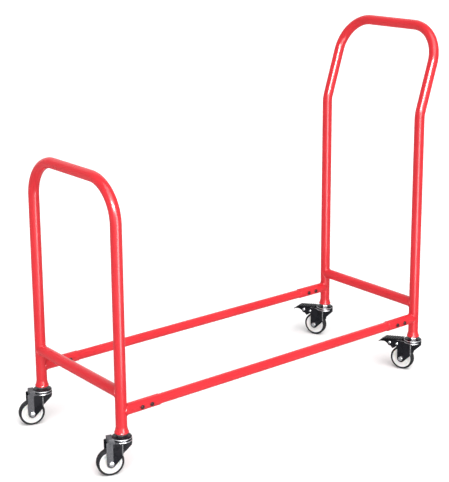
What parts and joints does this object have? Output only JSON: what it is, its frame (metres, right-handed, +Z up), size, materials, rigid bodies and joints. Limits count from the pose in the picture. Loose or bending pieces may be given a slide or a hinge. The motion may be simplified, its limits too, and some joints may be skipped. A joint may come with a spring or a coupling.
{
  "type": "tyre storage rack",
  "caption": "Rolling rack that holds a row of upright tyres on round rails between a low end hoop and a taller kinked push handle, on swivel casters, the handle pair with brakes.",
  "frame": {"origin": "the middle of the footprint box, on the floor", "axes": "+Z up, +X along the rack towards the push handle, +Y across the rack, to the right of a person who pushes it"},
  "size_m": [1.3164, 0.5584, 1.1309],
  "materials": {
    "red_paint": "glossy red powder coat on steel tube",
    "dark_bolt": "dark oxide bolts",
    "zinc": "bright zinc plate",
    "black_steel": "black coated pressed steel",
    "tread_rubber": "smooth black rubber",
    "white_nylon": "white moulded nylon"
  },
  "bodies": {
    "frame": {"low_hoop": "red_paint", "low_hoop_crossbar": "red_paint", "push_handle_hoop": "red_paint", "push_handle_crossbar": "red_paint", "tyre_rail_left": "red_paint", "tyre_rail_right": "red_paint", "rail_sleeve_low_left": "red_paint", "foot_boss_low_left": "red_paint", "rail_bolt_low_left_outer": "dark_bolt", "rail_bolt_low_left_inner": "dark_bolt", "caster_stem_low_left": "zinc", "bearing_cap_low_left": "black_steel", "ball_race_low_left": "zinc", "rail_sleeve_low_right": "red_paint", "foot_boss_low_right": "red_paint", "rail_bolt_low_right_outer": "dark_bolt", "rail_bolt_low_right_inner": "dark_bolt", "caster_stem_low_right": "zinc", "bearing_cap_low_right": "black_steel", "ball_race_low_right": "zinc", "rail_sleeve_handle_left": "red_paint", "foot_boss_handle_left": "red_paint", "rail_bolt_handle_left_outer": "dark_bolt", "rail_bolt_handle_left_inner": "dark_bolt", "caster_stem_handle_left": "zinc", "bearing_cap_handle_left": "black_steel", "ball_race_handle_left": "zinc", "rail_sleeve_handle_right": "red_paint", "foot_boss_handle_right": "red_paint", "rail_bolt_handle_right_outer": "dark_bolt", "rail_bolt_handle_right_inner": "dark_bolt", "caster_stem_handle_right": "zinc", "bearing_cap_handle_right": "black_steel", "ball_race_handle_right": "zinc"},
    "caster_low_left": {"caster_fork_low_left": "black_steel", "axle_bolt_low_left": "zinc", "axle_nut_low_left": "zinc"},
    "wheel_low_left": {"wheel_core_low_left": "white_nylon", "wheel_tread_low_left": "tread_rubber"},
    "caster_low_right": {"caster_fork_low_right": "black_steel", "axle_bolt_low_right": "zinc", "axle_nut_low_right": "zinc"},
    "wheel_low_right": {"wheel_core_low_right": "white_nylon", "wheel_tread_low_right": "tread_rubber"},
    "caster_handle_left": {"caster_fork_handle_left": "black_steel", "axle_bolt_handle_left": "zinc", "axle_nut_handle_left": "zinc", "brake_pin_handle_left": "zinc"},
    "wheel_handle_left": {"wheel_core_handle_left": "white_nylon", "wheel_tread_handle_left": "tread_rubber"},
    "brake_handle_left": {"brake_pedal_handle_left": "black_steel", "brake_shoe_handle_left": "black_steel"},
    "caster_handle_right": {"caster_fork_handle_right": "black_steel", "axle_bolt_handle_right": "zinc", "axle_nut_handle_right": "zinc", "brake_pin_handle_right": "zinc"},
    "wheel_handle_right": {"wheel_core_handle_right": "white_nylon", "wheel_tread_handle_right": "tread_rubber"},
    "brake_handle_right": {"brake_pedal_handle_right": "black_steel", "brake_shoe_handle_right": "black_steel"}
  },
  "joints": [
    {"name": "swivel_low_left", "type": "hinge", "parent": "frame", "child": "caster_low_left", "pos_m": [-0.58778, -0.25051, 0.1], "axis": [0, 0, 1], "continuous": true},
    {"name": "wheel_spin_low_left", "type": "hinge", "parent": "caster_low_left", "child": "wheel_low_left", "pos_m": [-0.61973, -0.23889, 0.038], "axis": [0.342, 0.9397, 0], "continuous": true},
    {"name": "swivel_low_right", "type": "hinge", "parent": "frame", "child": "caster_low_right", "pos_m": [-0.58778, 0.16748, 0.1], "axis": [0, 0, 1], "continuous": true},
    {"name": "wheel_spin_low_right", "type": "hinge", "parent": "caster_low_right", "child": "wheel_low_right", "pos_m": [-0.61973, 0.17911, 0.038], "axis": [0.342, 0.9397, 0], "continuous": true},
    {"name": "swivel_handle_left", "type": "hinge", "parent": "frame", "child": "caster_handle_left", "pos_m": [0.55622, -0.25051, 0.1], "axis": [0, 0, 1], "continuous": true},
    {"name": "wheel_spin_handle_left", "type": "hinge", "parent": "caster_handle_left", "child": "wheel_handle_left", "pos_m": [0.54349, -0.21899, 0.038], "axis": [0.9272, 0.3746, 0], "continuous": true},
    {"name": "brake_handle_left", "type": "hinge", "parent": "caster_handle_left", "child": "brake_handle_left", "pos_m": [0.53787, -0.20508, 0.086], "axis": [-0.9272, -0.3746, 0], "range_deg": [0, 7]},
    {"name": "swivel_handle_right", "type": "hinge", "parent": "frame", "child": "caster_handle_right", "pos_m": [0.55622, 0.16748, 0.1], "axis": [0, 0, 1], "continuous": true},
    {"name": "wheel_spin_handle_right", "type": "hinge", "parent": "caster_handle_right", "child": "wheel_handle_right", "pos_m": [0.54349, 0.19901, 0.038], "axis": [0.9272, 0.3746, 0], "continuous": true},
    {"name": "brake_handle_right", "type": "hinge", "parent": "caster_handle_right", "child": "brake_handle_right", "pos_m": [0.53787, 0.21292, 0.086], "axis": [-0.9272, -0.3746, 0], "range_deg": [0, 7]}
  ]
}
